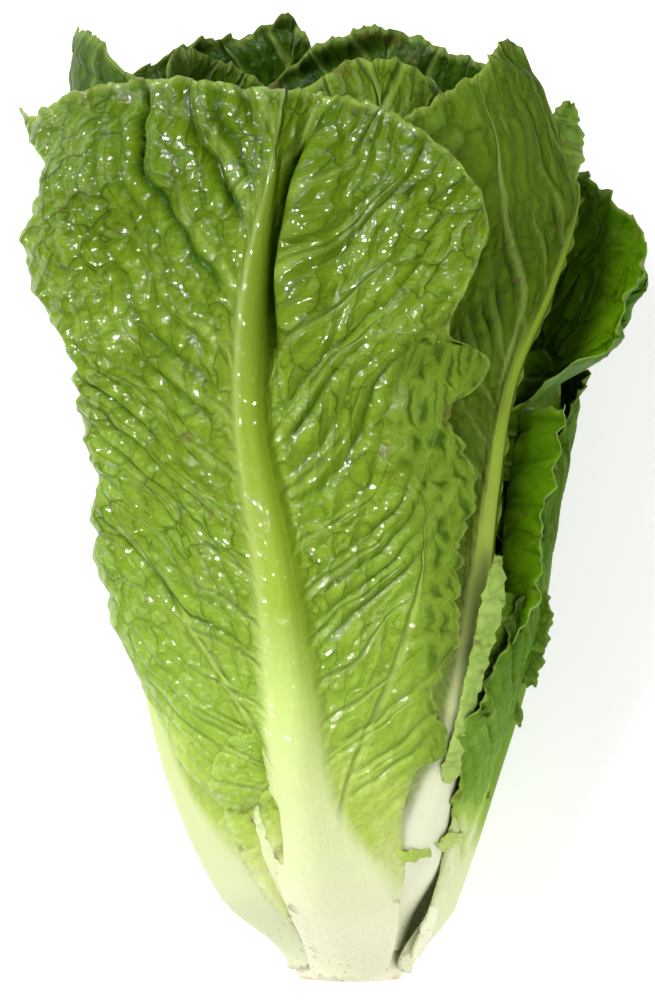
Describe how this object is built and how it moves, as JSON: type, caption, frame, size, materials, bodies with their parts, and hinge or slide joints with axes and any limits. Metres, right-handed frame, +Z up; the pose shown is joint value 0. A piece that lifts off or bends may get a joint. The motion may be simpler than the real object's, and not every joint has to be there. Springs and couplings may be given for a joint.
{
  "type": "romaine lettuce head",
  "caption": "Tall upright lettuce head with crinkled green leaves on thick pale midribs wrapped round a short cut stem, lying on its side.",
  "frame": {"origin": "on the surface that the head lies on, under the middle of its bounding box", "axes": "+Y along the head from the cut stem to the leaf tips, +Z up from the surface, +X to the right seen from above with the tips away"},
  "size_m": [0.1886, 0.2956, 0.1175],
  "materials": {
    "outer_leaf": "glossy crinkled leaf, green blade with lighter veins and a pale midrib that whitens towards the cut",
    "inner_leaf": "satin leaf, paler and yellower towards the heart",
    "stem": "pale cream cut stem, lightly browned at the cut"
  },
  "bodies": {
    "root": {"stem": "stem", "leaf_front": "outer_leaf", "leaf_right_outer": "outer_leaf", "leaf_under": "outer_leaf", "leaf_right_inner": "outer_leaf", "leaf_left": "outer_leaf", "leaf_under_right": "outer_leaf", "leaf_right_back": "outer_leaf", "leaf_right_front": "outer_leaf", "leaf_left_front": "outer_leaf", "leaf_right_upper": "outer_leaf", "leaf_inner_01": "inner_leaf", "leaf_inner_02": "inner_leaf", "leaf_inner_03": "inner_leaf", "leaf_inner_04": "inner_leaf", "leaf_inner_05": "inner_leaf", "leaf_inner_06": "inner_leaf", "leaf_inner_07": "inner_leaf", "leaf_inner_08": "inner_leaf", "leaf_inner_09": "inner_leaf", "leaf_inner_10": "inner_leaf", "leaf_inner_11": "inner_leaf"}
  },
  "joints": []
}
